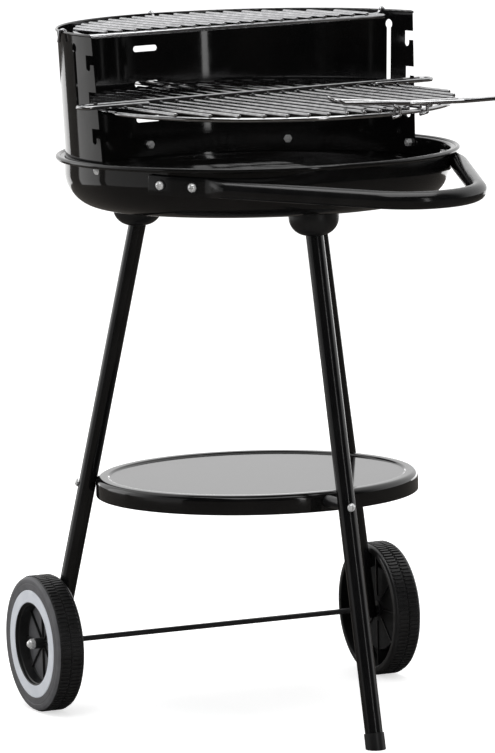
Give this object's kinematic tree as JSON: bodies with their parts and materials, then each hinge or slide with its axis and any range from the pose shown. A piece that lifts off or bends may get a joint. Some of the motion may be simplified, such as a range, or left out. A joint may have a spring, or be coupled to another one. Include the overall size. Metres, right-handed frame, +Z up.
{
  "type": "round charcoal grill",
  "caption": "Open round charcoal grill on a wheeled tripod: shallow bowl, half-round notched windshield, wire cooking grate, warming rack, bent-tube handle and round shelf.",
  "frame": {"origin": "the floor point under the bowl's axis", "axes": "+Z up; -Y towards the front leg and the push handle; +X along the wheel axle, to the right of a person who faces the front"},
  "size_m": [0.4615, 0.5618, 0.7583],
  "materials": {
    "black_enamel": "high-gloss black enamel on steel sheet",
    "gloss_black_paint": "glossy black powder coat on steel tube",
    "satin_black_paint": "satin black paint on steel tube",
    "chrome_wire": "chrome-plated steel wire",
    "zinc_hardware": "bright zinc-plated steel",
    "axle_steel": "dark steel rod",
    "black_plastic": "semi-matte moulded black plastic",
    "wheel_plastic": "moulded black plastic with a fine grain",
    "white_trim": "smooth white plastic"
  },
  "bodies": {
    "stand": {"bowl": "black_enamel", "windshield": "black_enamel", "windshield_bolts": "zinc_hardware", "windshield_nuts": "zinc_hardware", "push_handle": "satin_black_paint", "handle_bolts": "zinc_hardware", "handle_washers": "black_plastic", "handle_nuts": "zinc_hardware", "socket_front": "black_plastic", "socket_left": "black_plastic", "socket_right": "black_plastic", "socket_bolts": "zinc_hardware", "socket_nuts": "zinc_hardware", "leg_front": "gloss_black_paint", "leg_left": "gloss_black_paint", "leg_right": "gloss_black_paint", "front_foot": "black_plastic", "shelf": "black_enamel", "shelf_spacer": "black_plastic", "shelf_bolts": "zinc_hardware", "shelf_nuts": "zinc_hardware", "axle": "axle_steel", "axle_caps": "zinc_hardware", "axle_washers": "axle_steel"},
    "grate": {"cooking_grate": "chrome_wire", "grate_handle": "chrome_wire"},
    "rack": {"warming_rack": "chrome_wire"},
    "left_wheel": {"wheel_left": "wheel_plastic", "wheel_trim_left": "white_trim"},
    "right_wheel": {"wheel_right": "wheel_plastic", "wheel_trim_right": "white_trim"}
  },
  "joints": [
    {"name": "left_wheel_spin", "type": "hinge", "parent": "stand", "child": "left_wheel", "pos_m": [-0.207, 0.14237, 0.075], "axis": [1, 0, 0], "continuous": true},
    {"name": "right_wheel_spin", "type": "hinge", "parent": "stand", "child": "right_wheel", "pos_m": [0.207, 0.14237, 0.075], "axis": [1, 0, 0], "continuous": true},
    {"name": "rack_lift", "type": "slide", "parent": "stand", "child": "rack", "axis": [0, 0, 1], "range_m": [0, 0.08]},
    {"name": "grate_lift", "type": "hinge", "parent": "stand", "child": "grate", "pos_m": [-0.0364, 0.2065, 0.6775], "axis": [-0.9848, -0.1736, 0], "range_deg": [0, 3]}
  ]
}
